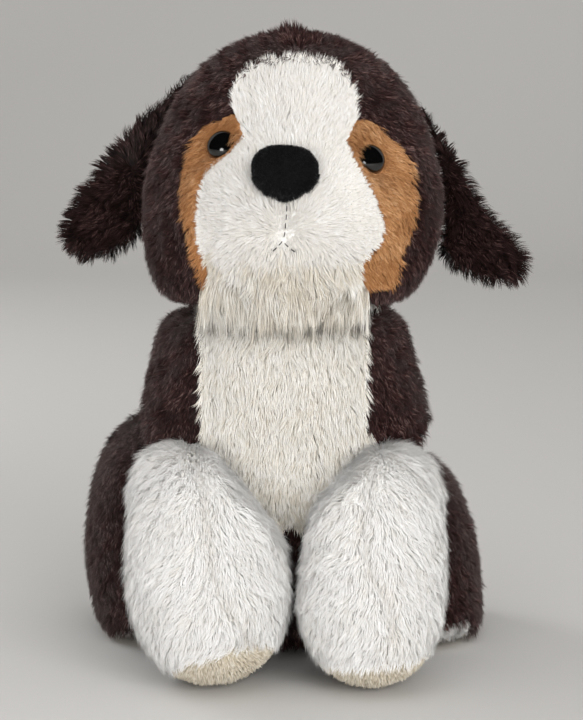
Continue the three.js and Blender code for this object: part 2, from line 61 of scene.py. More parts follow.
CAMERA_TARGET = Vector((0, 0, 0.150))
CAMERA_AIM = Vector((0.0022, 0, 0.1418))
CAMERA_DISTANCE = 1.3
CAMERA_ELEVATION = math.radians(8)


def look_at(obj, target):
    direction = Vector(target) - obj.location
    obj.rotation_euler = direction.to_track_quat("-Z", "Y").to_euler()


def make_camera():
    data = bpy.data.cameras.new("camera")
    data.sensor_width = 24
    data.lens = 90
    data.clip_start = 0.05
    data.clip_end = 50
    camera = bpy.data.objects.new("camera", data)
    back = Vector((0, -math.cos(CAMERA_ELEVATION), math.sin(CAMERA_ELEVATION)))
    camera.location = CAMERA_TARGET + back * CAMERA_DISTANCE
    look_at(camera, CAMERA_AIM)
    SCENE.collection.objects.link(camera)
    SCENE.camera = camera


def area_light(name, place, target, size, watts, colour=(1, 1, 1), shines=False):
    """A round soft light. Only one that shines is mirrored in glossy things."""
    data = bpy.data.lights.new(name, "AREA")
    data.shape = "DISK"
    data.size = size
    data.energy = watts
    data.color = colour
    light = bpy.data.objects.new(name, data)
    light.location = place
    light.visible_glossy = shines
    look_at(light, target)
    SCENE.collection.objects.link(light)


def make_stage():
    area_light("key", (0.75, -1.75, 0.75), (0, 0, 0.13), 1.3, 24, (1, 0.985, 0.96))
    area_light("fill", (-0.6, -1.75, 0.16), (0, 0, 0.15), 0.7, 11, (1, 0.99, 0.98), shines=True)
    area_light("top", (0, -0.8, 1.5), (0, 0, 0.1), 1.2, 3)
    area_light("rim", (-1.1, 0.9, 0.8), (0, 0, 0.18), 0.8, 8)
    world = bpy.data.worlds.new("studio")
    world.use_nodes = True
    background = world.node_tree.nodes["Background"]
    background.inputs["Color"].default_value = (0.92, 0.91, 0.9, 1)
    background.inputs["Strength"].default_value = 0.7
    SCENE.world = world
    world.cycles_visibility.glossy = False
    SCENE.view_settings.view_transform = "Standard"
    SCENE.view_settings.look = "None"

    # Floor and backdrop are one sweep: flat, then round a wide curve and up.
    bend, radius, steps, half_width = 1.6, 1.2, 16, 6
    profile = [(-4.0, 0.0), (bend, 0.0)]
    for i in range(1, steps + 1):
        a = math.radians(90 * i / steps)
        profile.append((bend + radius * math.sin(a), radius - radius * math.cos(a)))
    profile.append((bend + radius, 5.0))
    points = [(x, y, z) for y, z in profile for x in (-half_width, half_width)]
    faces = [(2 * i, 2 * i + 1, 2 * i + 3, 2 * i + 2) for i in range(len(profile) - 1)]
    mesh = bpy.data.meshes.new("backdrop")
    mesh.from_pydata(points, [], faces)
    shade_smooth(mesh)
    backdrop = bpy.data.objects.new("backdrop", mesh)
    SCENE.collection.objects.link(backdrop)
    paper, _ = new_material("backdrop_paper", (0.6, 0.59, 0.575), 0.75)
    mesh.materials.append(paper)


# ---- materials ----


def new_material(name, colour, roughness, specular=0.4):
    material = bpy.data.materials.new(name)
    material.use_nodes = True
    shader = material.node_tree.nodes["Principled BSDF"]
    shader.inputs["Base Color"].default_value = (*colour, 1)
    shader.inputs["Roughness"].default_value = roughness
    shader.inputs["Specular IOR Level"].default_value = specular
    material.diffuse_color = (*colour, 1)
    return material, shader


def set_sheen(shader, weight, roughness, tint):
    shader.inputs["Sheen Weight"].default_value = weight
    shader.inputs["Sheen Roughness"].default_value = roughness
    shader.inputs["Sheen Tint"].default_value = (*tint, 1)


def pile_material(name, tone, fur):
    material, shader = new_material(name, tone, fur["roughness"], specular=0.25)
    set_sheen(shader, fur["sheen"], 0.45, fur["tint"])
    return material


def mixed_noise(material, scale, detail, low, high):
    """Base colour that wanders between two colours. Returns the place and noise nodes."""
    nodes, links = material.node_tree.nodes, material.node_tree.links
    place = nodes.new("ShaderNodeTexCoord")
    noise = nodes.new("ShaderNodeTexNoise")
    noise.inputs["Scale"].default_value = scale
    noise.inputs["Detail"].default_value = detail
    links.new(place.outputs["Object"], noise.inputs["Vector"])
    colours = nodes.new("ShaderNodeValToRGB")
    elements = colours.color_ramp.elements
    elements[0].position, elements[0].color = 0.3, (*low, 1)
    elements[1].position, elements[1].color = 0.7, (*high, 1)
    links.new(noise.outputs["Fac"], colours.inputs["Fac"])
    links.new(colours.outputs["Color"], nodes["Principled BSDF"].inputs["Base Color"])
    return place, noise


def add_bump(material, height, strength, distance):
    nodes, links = material.node_tree.nodes, material.node_tree.links
    bump = nodes.new("ShaderNodeBump")
    bump.inputs["Strength"].default_value = strength
    bump.inputs["Distance"].default_value = distance
    links.new(height, bump.inputs["Height"])
    links.new(bump.outputs["Normal"], nodes["Principled BSDF"].inputs["Normal"])


def cloth_material(name, colour):
    """The knitted backing under the pile: small loops, mottled."""
    material, shader = new_material(name, colour, 0.9, 0.2)
    low = tuple(c * 0.75 for c in colour)
    high = tuple(min(c * 1.15, 1) for c in colour)
    place, _ = mixed_noise(material, 260, 3, low, high)
    loops = material.node_tree.nodes.new("ShaderNodeTexVoronoi")
    loops.inputs["Scale"].default_value = 900
    material.node_tree.links.new(place.outputs["Object"], loops.inputs["Vector"])
    add_bump(material, loops.outputs["Distance"], 0.5, 0.0006)
    shader.inputs["Sheen Weight"].default_value = 0.2
    return material


# tones: linear colours of the pile, darkest to lightest. lift: how far the cloth is raised under
# shorter pile, in millimetres, so that furs of different lengths end level.
FURS = {
    "white": dict(
        tones=[(0.83, 0.80, 0.75), (0.89, 0.875, 0.85), (0.93, 0.925, 0.91), (0.96, 0.96, 0.955)],
        sheen=0.1, tint=(1, 1, 1), roughness=0.7, lift=1.0,
    ),
    "cream": dict(
        tones=[(0.72, 0.66, 0.56), (0.83, 0.79, 0.71), (0.90, 0.875, 0.82), (0.94, 0.925, 0.89)],
        sheen=0.1, tint=(1, 0.99, 0.96), roughness=0.7, lift=1.0,
    ),
    "brown": dict(
        tones=[(0.014, 0.005, 0.0045), (0.030, 0.0118, 0.0108), (0.056, 0.0255, 0.0235), (0.16, 0.098, 0.09)],
        sheen=0.16, tint=(0.9, 0.7, 0.67), roughness=0.5, lift=3.4,
    ),
    "dark": dict(
        tones=[(0.007, 0.003, 0.003), (0.015, 0.0065, 0.006), (0.030, 0.0140, 0.013), (0.08, 0.044, 0.04)],
        sheen=0.06, tint=(0.9, 0.72, 0.68), roughness=0.55, lift=0.0,
    ),
    "tan": dict(
        tones=[(0.36, 0.155, 0.055), (0.49, 0.235, 0.095), (0.60, 0.32, 0.145), (0.72, 0.44, 0.24)],
        sheen=0.1, tint=(1, 0.9, 0.75), roughness=0.6, lift=3.0,
    ),
    "velvet": dict(
        tones=[(0.0015, 0.0015, 0.0016), (0.003, 0.003, 0.0033), (0.006, 0.006, 0.0066), (0.02, 0.02, 0.022)],
        sheen=0.1, tint=(0.8, 0.82, 0.9), roughness=0.9, lift=0.0,
    ),
    "beige": dict(
        tones=[(0.60, 0.52, 0.39), (0.70, 0.63, 0.50), (0.78, 0.71, 0.60), (0.85, 0.80, 0.70)],
        sheen=0.1, tint=(1, 0.97, 0.9), roughness=0.8, lift=2.5,
    ),
}
# Each backing takes its pile's second-darkest tone, darker than most strands: painted shade under the pile.
CLOTHS = {name: cloth_material(name + "_backing", fur["tones"][1]) for name, fur in FURS.items()}
PILES = {
    name: [pile_material(f"{name}_pile_{i}", tone, fur) for i, tone in enumerate(fur["tones"])]
    for name, fur in FURS.items()
}

# ---- meshes ----


def arrays_of(mesh):
    points = np.empty(len(mesh.vertices) * 3, np.float32)
    mesh.vertices.foreach_get("co", points)
    mesh.calc_loop_triangles()
    triangles = np.empty(len(mesh.loop_triangles) * 3, np.int32)
    mesh.loop_triangles.foreach_get("vertices", triangles)
    return points.reshape(-1, 3).astype(float) / MM, triangles.reshape(-1, 3)


def node_arrays(names):
    """Some CAD nodes as one set of points and triangles, and which of them each triangle is from."""
    points, triangles, owner = [], [], []
    start = 0
    for i, name in enumerate(names):
        p, t = arrays_of(NODES[name].data)
        points.append(p)
        triangles.append(t + start)
        owner.append(np.full(len(t), i))
        start += len(p)
    return np.concatenate(points), np.concatenate(triangles), np.concatenate(owner)


def object_from(name, points, faces):
    mesh = bpy.data.meshes.new(name)
    mesh.from_pydata((np.asarray(points) * MM).tolist(), [], [[int(i) for i in f] for f in faces])
    mesh.update()
    obj = bpy.data.objects.new(name, mesh)
    SCENE.collection.objects.link(obj)
    return obj


def bake_modifiers(obj):
    """Applies all modifiers."""
    graph = bpy.context.evaluated_depsgraph_get()
    graph.update()
    made = bpy.data.meshes.new_from_object(obj.evaluated_get(graph))
    obj.modifiers.clear()
    old, obj.data = obj.data, made
    made.name = obj.name
    bpy.data.meshes.remove(old)


def remesh(obj, voxel):
    """One closed skin round everything in the object, its faces about voxel millimetres wide."""
    modifier = obj.modifiers.new("remesh", "REMESH")
    modifier.mode = "VOXEL"
    modifier.voxel_size = voxel * MM
    bake_modifiers(obj)


def subdivide(obj):
    modifier = obj.modifiers.new("subdivide", "SUBSURF")
    modifier.levels = modifier.render_levels = 1
    bake_modifiers(obj)


def shade_smooth(mesh):
    for polygon in mesh.polygons:
        polygon.use_smooth = True


def edges_of(mesh):
    edges = np.empty(len(mesh.edges) * 2, np.int32)
    mesh.edges.foreach_get("vertices", edges)
    return edges.reshape(-1, 2)


def smoothed(points, edges, rounds):
    """Each point, or each value, is moved half-way to its neighbours' mean, so many times."""
    count = np.zeros(len(points))
    np.add.at(count, edges.ravel(), 1)
    count = np.maximum(count, 1)[:, None]
    for _ in range(rounds):
        total = np.zeros_like(points)
        np.add.at(total, edges[:, 0], points[edges[:, 1]])
        np.add.at(total, edges[:, 1], points[edges[:, 0]])
        points = points + 0.5 * (total / count - points)
    return points


def get_points(mesh):
    return arrays_of(mesh)[0]


def set_points(mesh, points):
    mesh.vertices.foreach_set("co", (points * MM).astype(np.float32).ravel())
    mesh.update()


def normals_of(mesh):
    normals = np.empty(len(mesh.vertices) * 3, np.float32)
    mesh.vertex_normals.foreach_get("vector", normals)
    return normals.reshape(-1, 3).astype(float)


def unit(vectors):
    return vectors / np.maximum(np.linalg.norm(vectors, axis=-1, keepdims=True), 1e-9)


def fade(distance, radius):
    """1 where the distance is 0, and next to nothing at twice the radius."""
    return np.exp(-((distance / radius) ** 2))


def ramp(value, start, end):
    """0 up to start, 1 from end on, and straight between them. end may be the lower one."""
    return np.clip((value - start) / (end - start), 0, 1)


# ---- stuffed cloth ----

CLOTH_FRAMES = 20


def inflate(obj, cap):
    """Blows the cloth up a little, no point further than cap millimetres, as stuffing does."""
    before = get_points(obj.data)
    modifier = obj.modifiers.new("cloth", "CLOTH")
    settings = modifier.settings
    settings.quality = 4
    settings.mass = 0.25
    settings.tension_stiffness = settings.compression_stiffness = 18
    settings.bending_stiffness = 0.6
    settings.use_pressure = True
    settings.uniform_pressure_force = 4
    settings.effector_weights.gravity = 0
    settings.vertex_group_mass = "seams"
    modifier.collision_settings.use_collision = False
    modifier.point_cache.frame_start = 1
    modifier.point_cache.frame_end = CLOTH_FRAMES
    for i in range(CLOTH_FRAMES):
        SCENE.frame_set(i + 1)
    graph = bpy.context.evaluated_depsgraph_get()
    after = get_points(obj.evaluated_get(graph).data)
    obj.modifiers.clear()
    SCENE.frame_set(1)
    move = after - before
    length = np.linalg.norm(move, axis=1, keepdims=True)
    set_points(obj.data, before + move * np.minimum(1, cap / np.maximum(length, 1e-6)))


DEPTH_COUNTS = np.array([1, 0.2, 1])


def line_distance(points, line):
    """How far each point is from a polyline, most of the depth left out."""
    points = points * DEPTH_COUNTS
    line = np.array(line, float) * DEPTH_COUNTS
    best = np.full(len(points), 1e9)
    for a, b in zip(line, line[1:]):
        ab = b - a
        t = np.clip(((points - a) @ ab) / (ab @ ab), 0, 1)
        best = np.minimum(best, np.linalg.norm(points - a - t[:, None] * ab, axis=1))
    return best


def inside_outline(x, z, outline):
    """True for each (x, z) inside a closed outline."""
    found = np.zeros(len(x), bool)
    for (x1, z1), (x2, z2) in zip(outline, outline[1:] + outline[:1]):
        if z1 == z2:
            continue
        crosses = ((z1 > z) != (z2 > z)) & (x < (x2 - x1) * (z - z1) / (z2 - z1) + x1)
        found ^= crosses
    return found


LOWEST_CLOTH = 0.6  # above the floor
LOWEST_MIDDLE = 0.5  # of a strand
LOWEST_TIP = 0.3


class Stuffed:
    """One stuffed body: its cloth, and the panels of its skin.

    inset: how far the cloth lies under the CAD's surface, to leave room for the pile. swell: how
    far it may be blown up. dents: (centre, radius, depth). grooves: (line, radius, depth).
    relabel: moves the panels' borders. shape: moves the finished cloth's points.
    """

    def __init__(
        self, body, inset, voxel=3.2, rounds=7, swell=2.0, fill=0.7, dents=(), grooves=(),
        relabel=None, shape=None,
    ):
        self.furs = furs_of(body)
        self.names = sorted(self.furs)
        self.inset = inset
        self.relabel = relabel
        self.grooves = grooves
        under = [n for n in BODIES[body] if "thread" not in n and "nose" not in n]
        points, triangles, _ = node_arrays(under)
        cloth = object_from(body + "_cloth", points, triangles)
        remesh(cloth, voxel)
        surface = smoothed(get_points(cloth.data), edges_of(cloth.data), rounds)
        set_points(cloth.data, surface)
        set_points(cloth.data, surface - normals_of(cloth.data) * (inset + 0.4 * swell))
        if inset > 3:  # deep enough to fold the cloth at creases
            remesh(cloth, voxel)
        points, triangles, self.owner = node_arrays(self.names)
        self.tree = BVHTree.FromPolygons(points.tolist(), triangles.tolist())
        self.cloth = cloth
        self.mark_seams()
        inflate(cloth, swell)
        subdivide(cloth)

        points, normals, edges = get_points(cloth.data), normals_of(cloth.data), edges_of(cloth.data)
        label = self.panels_at(points, normals)
        lift = np.array([FURS[self.furs[n]]["lift"] for n in self.names])[label]
        lift = smoothed(lift[:, None], edges, 8)
        for centre, radius, depth in dents:
            distance = np.linalg.norm(points - centre, axis=1)
            lift[:, 0] -= depth * fade(distance, radius)
        for line, radius, depth in grooves:
            lift[:, 0] -= depth * fade(line_distance(points, line), radius)
        points = points + normals * lift
        if shape:
            points = shape(points)
        points[:, 2] = np.maximum(points[:, 2], LOWEST_CLOTH)
        set_points(cloth.data, points)
        shade_smooth(cloth.data)
        self.paint()
        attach(cloth, body)

    def panels_at(self, points, normals):
        """Which panel's skin lies over each point of the cloth."""
        over = points + normals * 0.6 * self.inset
        label = np.array([self.owner[self.tree.find_nearest(Vector(p))[2]] for p in over])
        if self.relabel:
            label = self.relabel(self.names, points + normals * self.inset, label)
        return label

    def mark_seams(self):
        """Points on a border of two panels are mostly held, and the cloth swells between them."""
        edges = edges_of(self.cloth.data)
        label = self.panels_at(get_points(self.cloth.data), normals_of(self.cloth.data))
        border = label[edges[:, 0]] != label[edges[:, 1]]
        group = self.cloth.vertex_groups.new(name="seams")
        group.add([int(i) for i in np.unique(edges[border])], 0.8, "REPLACE")

    def paint(self):
        """Each face of the cloth gets the backing of its panel."""
        mesh = self.cloth.data
        used = sorted(set(self.furs.values()))
        mesh.materials.clear()
        for fur in used:
            mesh.materials.append(CLOTHS[fur])
        centres = np.array([p.center for p in mesh.polygons]) / MM
        normals = np.array([p.normal for p in mesh.polygons])
        slot_of = np.array([used.index(self.furs[n]) for n in self.names], np.int32)
        mesh.polygons.foreach_set("material_index", slot_of[self.panels_at(centres, normals)])


# ---- pile ----


def smooth_noise(points, wavelength, seed):
    """A smooth random field, mostly from -1 to 1, one value a point."""
    rng = np.random.default_rng(seed)
    total = np.zeros(len(points))
    for _ in range(6):
        wave = unit(rng.normal(size=3)) * 2 * math.pi / (wavelength * rng.uniform(0.7, 1.6))
        total += np.sin(points @ wave + rng.uniform(0, 2 * math.pi))
    return total / 3.2


def turned(vectors, axes, angles):
    """Each vector turned about its own unit axis."""
    c, s = np.cos(angles)[:, None], np.sin(angles)[:, None]
    return vectors * c + np.cross(axes, vectors) * s + axes * (vectors * axes).sum(1, keepdims=True) * (1 - c)


# Faces of one strand: its root, three sides up to the middle, and three from there to the tip.
STRAND_FACES = [(0, 2, 1), (0, 1, 4, 3), (1, 2, 5, 4), (2, 0, 3, 5), (3, 4, 6), (4, 5, 6), (5, 3, 6)]
FACE_SIZES = np.array([len(face) for face in STRAND_FACES])
FACE_CORNERS = np.concatenate(STRAND_FACES)


def strands_mesh(name, roots, middles, tips, outward, width, tone, front):
    """Closed blades, flat on the outside.

    tone is each one's place in the fur's tones; its lower half is one tone darker, painted shade deep in the
    pile.
    """
    count = len(roots)
    points = np.empty((count, 7, 3))
    along = unit(middles - roots)
    across = unit(np.cross(along, outward))
    top = unit(np.cross(across, along))
    half = (width / 2)[:, None]
    for i, spoke in enumerate((across * half, top * half * -0.7, across * -half)):
        points[:, i] = roots + spoke
        points[:, 3 + i] = middles + spoke * 0.85
    points[:, 6] = tips

    per = len(STRAND_FACES)
    each = np.arange(count)[:, None]
    mesh = bpy.data.meshes.new(name)
    mesh.vertices.add(count * 7)
    mesh.vertices.foreach_set("co", (points * MM).astype(np.float32).ravel())
    loops = (FACE_CORNERS + 7 * each).astype(np.int32).ravel()
    mesh.loops.add(len(loops))
    mesh.loops.foreach_set("vertex_index", loops)
    mesh.polygons.add(count * per)
    starts = np.cumsum(FACE_SIZES) - FACE_SIZES + FACE_SIZES.sum() * each
    mesh.polygons.foreach_set("loop_start", starts.astype(np.int32).ravel())
    # The lower half takes the next darker tone: painted shade near the roots.
    slots = np.empty((count, per), np.int32)
    slots[:, :4] = np.maximum(tone - 1, 0)[:, None]
    slots[:, 4:] = tone[:, None]
    mesh.polygons.foreach_set("material_index", slots.ravel())
    mesh.polygons.foreach_set("use_smooth", np.ones(count * per, bool))
    mesh.update(calc_edges=True)
    # Light falls on the pile much as it does on the surface under it. On the dog's front, pale
    # pile is turned further to the front, for the light that scatters inside it.
    ahead = front * ramp(outward[:, 1], 0.5, -0.5)[:, None] * np.array([0, -1, 0.2])
    facing = np.repeat(unit(outward + 0.8 * top + ahead), 7, axis=0)
    mesh.normals_split_custom_set_from_vertices(facing.tolist())
    return mesh


# density: strands a square millimetre. length and width: of one, in millimetres. lean: from
# straight up, in degrees. tuft: spacing of tufts. pull: how far a strand joins its tuft. wobble
# and wave: how far the combing wanders, in degrees, and over what distance. bright and mottle:
# shift and unevenness of its tone. spread: unevenness of length. front: how far its shading turns
# to the front.
DEFAULT_STYLE = dict(
    density=1.0, length=8, spread=0.25, lean=55, width=0.45, tuft=2.6, pull=0.45, wobble=18, wave=14,
    bright=0.0, mottle=0.3, front=0.0,
)


class Combed:
    """Which way each strand lies, and what changes from place to place, at some roots."""

    def __init__(self, points, normals, direction):
        self.points, self.normals = points, normals
        self.direction = np.broadcast_to(np.asarray(direction, float), points.shape).copy()
        self.length = np.ones(len(points))
        self.lean = np.zeros(len(points))
        self.shade = np.zeros(len(points))
        self.keep = np.ones(len(points), bool)


def scatter(mesh, density, rng):
    """Random places spread evenly over a mesh, so many a square millimetre, and their normals."""
    points, triangles = arrays_of(mesh)
    normals = normals_of(mesh)
    corners = points[triangles]
    sides = corners[:, 1:] - corners[:, :1]
    areas = np.linalg.norm(np.cross(sides[:, 0], sides[:, 1]), axis=1) / 2
    count = int(areas.sum() * density)
    face = rng.choice(len(areas), count, p=areas / areas.sum())
    u, v = rng.random(count), rng.random(count)
    flip = u + v > 1
    u[flip], v[flip] = 1 - u[flip], 1 - v[flip]
    weights = np.stack([1 - u - v, u, v], 1)[:, :, None]
    return (corners[face] * weights).sum(1), unit((normals[triangles[face]] * weights).sum(1))


MOST_STRANDS = 19500  # in one mesh
ROOT_DEPTH = 0.4  # how far a strand starts under the cloth


def pile_mesh(name, combed, style, seed, rng):
    """The strands of one panel, as one or more meshes."""
    keep = combed.keep
    r, n = combed.points[keep], combed.normals[keep]
    comb = combed.direction[keep]
    comb = unit(comb - n * (comb * n).sum(1, keepdims=True))
    count = len(r)

    # Tufts: strands lean towards the tip of the nearest tuft's middle strand.
    tufts = max(1, int(count / (style["density"] * style["tuft"] ** 2)))
    chosen = rng.choice(count, tufts, replace=False)
    finder = KDTree(tufts)
    for k, j in enumerate(chosen):
        finder.insert(Vector(r[j]), k)
    finder.balance()
    tuft = np.array([finder.find(Vector(p))[1] for p in r])
    tuft_turn, tuft_lean, tuft_length = rng.normal(size=(3, tufts))

    wander = style["wobble"] * smooth_noise(r, style["wave"], seed + 3)
    angle = wander + 10 * tuft_turn[tuft] + 9 * rng.normal(size=count)
    direction = turned(comb, n, np.radians(angle))
    usual = style["length"] * combed.length[keep]
    length = usual * (1 + style["spread"] * (0.5 * tuft_length[tuft] + 0.6 * rng.normal(size=count)))
    length = np.clip(length, 0.45 * usual, 1.7 * usual)
    lean = style["lean"] + combed.lean[keep] + 6 * tuft_lean[tuft] + 7 * rng.normal(size=count)
    lean = np.radians(np.clip(lean, 5, 84))
    first, second = (lean * 0.62)[:, None], np.minimum(lean * 1.3, math.radians(96))[:, None]
    half = (length / 2)[:, None]
    middle = r + half * (n * np.cos(first) + direction * np.sin(first))
    tip = middle + half * (n * np.cos(second) + direction * np.sin(second))
    lead = chosen[tuft]
    pull = style["pull"] * np.minimum(1, length / length[lead])[:, None]
    tuft_tip, tuft_middle = tip[lead], middle[lead]
    tip = tip + pull * (tuft_tip - tip)
    middle = middle + 0.35 * pull * (tuft_middle - middle)
    # Nothing grows down through the surface that the dog sits on.
    middle[:, 2] = np.maximum(middle[:, 2], LOWEST_MIDDLE)
    tip[:, 2] = np.maximum(tip[:, 2], LOWEST_TIP)

    width = style["width"] * np.clip(1 + 0.2 * rng.normal(size=count), 0.5, 1.6)
    shade = (
        1.55 + style["bright"] + combed.shade[keep] + 0.75 * rng.normal(size=count) + 0.35 * tuft_turn[tuft]
        + style["mottle"] * smooth_noise(r, 22, seed + 9)
    )
    tone = np.clip(np.round(shade), 0, 3).astype(np.int32)
    sunk = r - n * ROOT_DEPTH
    meshes = []
    parts = math.ceil(count / MOST_STRANDS)
    for k in range(parts):
        some = slice(k * count // parts, (k + 1) * count // parts)
        suffix = f"_{k + 1}" if parts > 1 else ""
        strands = [a[some] for a in (sunk, middle, tip, n, width, tone)]
        meshes.append(strands_mesh(name + suffix, *strands, style["front"]))
    return meshes


def add_pile(mesh, fur, parent):
    for material in PILES[fur]:
        mesh.materials.append(material)
    pile = bpy.data.objects.new(mesh.name, mesh)
    SCENE.collection.objects.link(pile)
    pile.parent = parent
    return pile


def grow(stuffed, styles, comb, seed):
    """Covers a stuffed body with pile, one piece for each panel. comb works out its lie."""
    rng = np.random.default_rng(seed)
    most = max(s["density"] for s in styles.values())
    roots, outward = scatter(stuffed.cloth.data, most, rng)
    label = stuffed.panels_at(roots, outward)
    chance = rng.random(len(roots))
    for i, name in enumerate(stuffed.names):
        if name not in styles:
            continue
        style = styles[name]
        share = style["density"] / most
        mine = (label == i) & (chance < share)
        # None on the underside that rests on the floor, and fewer on the back.
        mine &= ~((roots[:, 2] < 1.5) & (outward[:, 2] < -0.7))
        mine &= (outward[:, 1] < 0.25) | (chance < 0.62 * share)
        combed = Combed(roots[mine], outward[mine], (0, 0, -1))
        comb(name, combed, rng)
        # Along a groove the pile is shorter and darker; the darker tone is painted shade in the crease.
        for line, radius, _ in stuffed.grooves:
            near = fade(line_distance(combed.points, line), radius)
            combed.length *= 1 - 0.45 * near
            combed.shade -= 1.6 * near
        if not combed.keep.any():
            continue
        for part in pile_mesh(name + "_pile", combed, style, seed, rng):
            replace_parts(add_pile(part, stuffed.furs[name], stuffed.cloth), name)


# ---- the bodies ----

SIDES = {"left": 1, "right": -1}
FUR_OF_SLOT = {fur + "_plush": fur for fur in ("white", "cream", "brown", "tan", "beige")}
FUR_OF_SLOT["dark_brown_plush"] = "dark"
SLOTS = {s["node"]: s["material_slot"] for s in frame["record"]["subparts"]}


def style(**changes):
    return {**DEFAULT_STYLE, **changes}


def brown_style(**changes):
    return style(wobble=34, wave=8, **changes)


def short_brown(**size):
    """The uneven short pile of the head's and the torso's brown."""
    return brown_style(lean=52, tuft=2, pull=0.35, bright=-0.05, mottle=0.55, **size)


def long_white(**changes):
    """The chest's and the forelegs' pile."""
    return style(spread=0.2, width=0.26, wobble=16, bright=0.4, **changes)


def furs_of(body):
    """Each panel's fur, by the record's material slots."""
    return {n: FUR_OF_SLOT[SLOTS[n]] for n in BODIES[body] if SLOTS[n] in FUR_OF_SLOT}


# Outlines of the face's colours as seen from the front, (x, z).
WHITE_OUTLINE = [
    (-3, 287.5), (-12, 285.5), (-19, 281.5), (-23.5, 277.5), (-24.5, 271), (-24, 265),
    (-20.5, 255.5), (-27.5, 248), (-35.5, 241.5), (-40, 234), (-41.5, 228), (-42.5, 217),
    (-42, 207.5), (-39.5, 199), (-36, 192), (-37, 184), (-39, 170), (39, 170), (34.5, 184.5),
    (33.5, 189), (35, 195), (39, 200), (44.5, 205.5), (45, 214.5), (43, 222.5), (39, 231.5),
    (34.5, 240), (30.5, 247), (27.5, 253.5), (29.5, 257.5), (32, 262), (31, 269), (29.5, 275),
    (26, 282), (19, 286.5), (6, 288),
]
TAN_OUTLINES = {
    "right": [
        (-25, 265.5), (-31.5, 262), (-40, 257), (-44, 253), (-46.5, 248), (-48, 241),
        (-50.5, 232), (-50, 222.5), (-48.5, 213.5), (-46, 205.5), (-44, 196.5), (-41.5, 188.5),
        (-39, 183), (-34, 186), (-34, 192), (-37, 198), (-30, 215), (-30, 240), (-15, 256),
        (-20, 261),
    ],
    "left": [
        (33, 262), (26, 257), (25, 250), (20, 240), (30, 215), (36, 200), (33, 195), (33.5, 188),
        (36.5, 182.5), (42, 179.5), (47.5, 181), (52.5, 185.5), (53.5, 191.5), (54.5, 199.5),
        (58, 206.5), (60, 213.5), (61.5, 222.5), (60.5, 231.5), (59, 241.5), (54.5, 247),
        (50, 251.5), (46.5, 256), (41, 260), (37, 262.5),
    ],
}
CHIN_TOP = 194  # where the chin's panel meets the muzzle's
CHIN_LEAN = 60
JOWLS = (-1, 39)  # the middle of the chin's fur, and how far it reaches to each side
NOSE = (-0.5, 238.5)
CROWN = np.array([1.5, -6, 296])
NECK_AXIS = (2, 5)
NECK_RADIUS = 34
MOUTH_AT = np.array([-1.5, -88.0, 206.0])
# The line under the nose, and the two corners of the mouth.
MOUTH_LINES = [
    [(0, -90, 224.5), (-0.2, -90.2, 220), (-0.6, -90.1, 216), (-0.9, -89.9, 212), (-1.8, -89.1, 208.4)],
    [(-1.8, -89.1, 208.4), (-3.6, -88.6, 206.2), (-5.4, -87.9, 204.3), (-8, -86.4, 202.3)],
    [(-1.3, -89, 207.5), (1.3, -88.2, 204.8), (4, -87.4, 202.9)],
]
# The seam down each foreleg's front, from the top.
FORELEG_SEAMS = {
    "right": [
        (-45.5, -58, 110), (-43, -68.5, 106.5), (-40, -84, 98.5), (-36.5, -93, 85), (-35.5, -98, 72),
        (-32.5, -103.5, 55.5), (-29, -106, 47), (-20, -103, 33.5), (-14.5, -96.5, 25.5),
    ],
    "left": [
        (39, -70, 109), (39, -81.5, 104), (36.5, -90, 94), (35, -95, 83), (35, -100, 68), (39.5, -104.5, 56),
        (45, -106.5, 47), (47, -106, 30.5),
    ],
}


class Eye:
    """Where an eye's dome sits: turned more to the front than the cloth around it."""

    HEIGHT = 6.4
    SUNK = 1.2
    GROWN = 1.08  # the dome shows this much wider than the CAD's
    FORWARD = np.array([0, -0.97, 0.25])

    def __init__(self, side):
        dome, _ = arrays_of(NODES[side + "_eye"].data)
        washer, _ = arrays_of(NODES[side + "_eye_washer"].data)
        middle = washer.mean(0)
        skin_axis = unit(dome.mean(0) - middle)
        self.radius = self.GROWN * np.linalg.norm(np.cross(dome - middle, skin_axis), axis=1).max()
        apex = middle + skin_axis * ((dome - middle) @ skin_axis).max()
        self.centre = apex - skin_axis * (self.HEIGHT + self.SUNK)
        self.axis = unit(0.45 * skin_axis + 0.55 * self.FORWARD)

    def over(self, points):
        """How far points are from the eye's axis, and how far in front of its base."""
        offset = points - self.centre
        return np.linalg.norm(np.cross(offset, self.axis), axis=-1), offset @ self.axis


EYES = {side: Eye(side) for side in SIDES}


def face_panels(names, points, label):
    """The face's colours follow their outlines."""
    x, z = points[:, 0], points[:, 2]
    front = (points[:, 1] < -20) & (z > 182)
    patches = [i for i, n in enumerate(names) if "cheek" in n or n == "muzzle_panel"]
    outer = np.where(x > 0, names.index("left_head_panel"), names.index("right_head_panel"))
    label = np.where(front & np.isin(label, patches), outer, label)
    for side in SIDES:
        label[front & inside_outline(x, z, TAN_OUTLINES[side])] = names.index(side + "_cheek_patch")
    white = front & inside_outline(x, z, WHITE_OUTLINE)
    muzzle, chin = names.index("muzzle_panel"), names.index("chin_panel")
    border = CHIN_TOP + 5 * smooth_noise(points, 10, 5) + 7 * smooth_noise(points, 1.4, 6)
    label[white] = np.where(z < border, chin, muzzle)[white]
    reach = JOWLS[1] - 1.5 * smooth_noise(points, 3, 7)
    beyond = (label == chin) & (np.abs(x - JOWLS[0]) > reach)
    return np.where(beyond, outer, label)


def point(c, way, weight, usual_lean):
    """Turns strands to point one way, whatever the cloth under them does."""
    far = 400  # outweighs any direction measured from a place on the body
    c.direction += weight[:, None] * (far * way - c.direction)
    angle = np.degrees(np.arccos(np.clip(c.normals @ way, -1, 1)))
    c.lean += weight * (np.clip(angle, 8, 78) - usual_lean)


def by_neck(points):
    """True where the neck covers the cloth of head and torso."""
    return np.hypot(points[:, 0] - NECK_AXIS[0], points[:, 1] - NECK_AXIS[1]) < NECK_RADIUS


